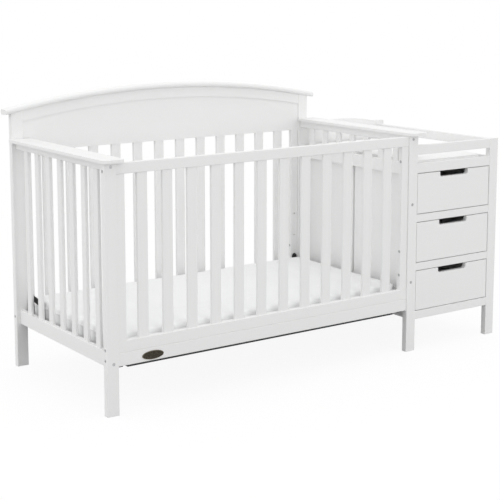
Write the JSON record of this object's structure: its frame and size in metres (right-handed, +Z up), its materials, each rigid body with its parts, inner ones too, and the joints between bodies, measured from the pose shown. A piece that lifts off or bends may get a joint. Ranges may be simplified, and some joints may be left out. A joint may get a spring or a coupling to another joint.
{
  "type": "crib with attached changer",
  "caption": "Slatted baby crib with an arched headboard and a mattress on a height-adjustable steel support, joined to a changing table with a padded tray over drawers.",
  "frame": {"origin": "on the floor under the middle of the whole box, so z is the height above the floor", "axes": "+X runs from the crib to the changer, -Y is the front with the drawers, +Z is up"},
  "size_m": [1.886, 0.778, 1.0729],
  "materials": {
    "white_paint": "satin white paint on solid wood",
    "white_laminate": "matte white foil on board",
    "mattress_cover": "woven cotton cover",
    "pad_cover": "wipe-clean coated fabric",
    "black_steel": "black powder coat",
    "runner_steel": "white epoxy coat",
    "zinc_steel": "zinc plating",
    "bronze_plate": "dark bronze with a bright rim"
  },
  "bodies": {
    "frame": {"post_front_left": "white_paint", "post_back_left": "white_paint", "post_front_shared": "white_paint", "post_back_shared": "white_paint", "post_front_changer": "white_paint", "post_back_changer": "white_paint", "headboard_panel": "white_paint", "headboard_rail": "white_paint", "headboard_cap": "white_paint", "back_stiles": "white_paint", "back_slats": "white_paint", "back_bottom_rail": "white_paint", "left_end_cap": "white_paint", "left_end_top_rail": "white_paint", "left_end_slats": "white_paint", "left_end_bottom_rail": "white_paint", "shared_end_cap": "white_paint", "shared_end_top_rail": "white_paint", "shared_end_slats": "white_paint", "shared_end_mid_rail": "white_paint", "shared_end_stiles": "white_paint", "shared_end_bottom_rail": "white_paint", "front_top_rail": "white_paint", "front_stiles": "white_paint", "front_slats": "white_paint", "front_bottom_rail": "white_paint", "front_lower_board": "white_paint", "badge_plate": "bronze_plate", "changer_left_boards": "white_paint", "changer_right_boards": "white_paint", "changer_right_rail": "white_paint", "changer_back_sheet": "white_laminate", "changer_back_board": "white_paint", "tray_board": "white_laminate", "tray_cleats": "white_laminate", "tray_rail": "white_paint", "drawer_dividers": "white_paint", "cabinet_bottom_rail": "white_paint", "front_guard_rail": "white_paint", "right_guard_rail": "white_paint", "changing_pad": "pad_cover", "cabinet_runners": "runner_steel", "frame_fasteners": "zinc_steel"},
    "lower_drawer": {"lower_drawer_front": "white_paint", "lower_drawer_box": "white_laminate", "lower_drawer_bottom": "white_laminate", "lower_drawer_runners": "runner_steel"},
    "middle_drawer": {"middle_drawer_front": "white_paint", "middle_drawer_box": "white_laminate", "middle_drawer_bottom": "white_laminate", "middle_drawer_runners": "runner_steel"},
    "top_drawer": {"top_drawer_front": "white_paint", "top_drawer_box": "white_laminate", "top_drawer_bottom": "white_laminate", "top_drawer_runners": "runner_steel"},
    "mattress_support": {"support_frame": "black_steel", "support_deck": "black_steel", "support_brackets": "black_steel", "support_bolts": "black_steel", "mattress": "mattress_cover"}
  },
  "joints": [
    {"name": "lower_drawer_slide", "type": "slide", "parent": "frame", "child": "lower_drawer", "axis": [0, -1, 0], "range_m": [0, 0.36]},
    {"name": "middle_drawer_slide", "type": "slide", "parent": "frame", "child": "middle_drawer", "axis": [0, -1, 0], "range_m": [0, 0.36]},
    {"name": "top_drawer_slide", "type": "slide", "parent": "frame", "child": "top_drawer", "axis": [0, -1, 0], "range_m": [0, 0.36]},
    {"name": "mattress_height", "type": "slide", "parent": "frame", "child": "mattress_support", "axis": [0, 0, 1], "range_m": [0, 0.192]}
  ]
}
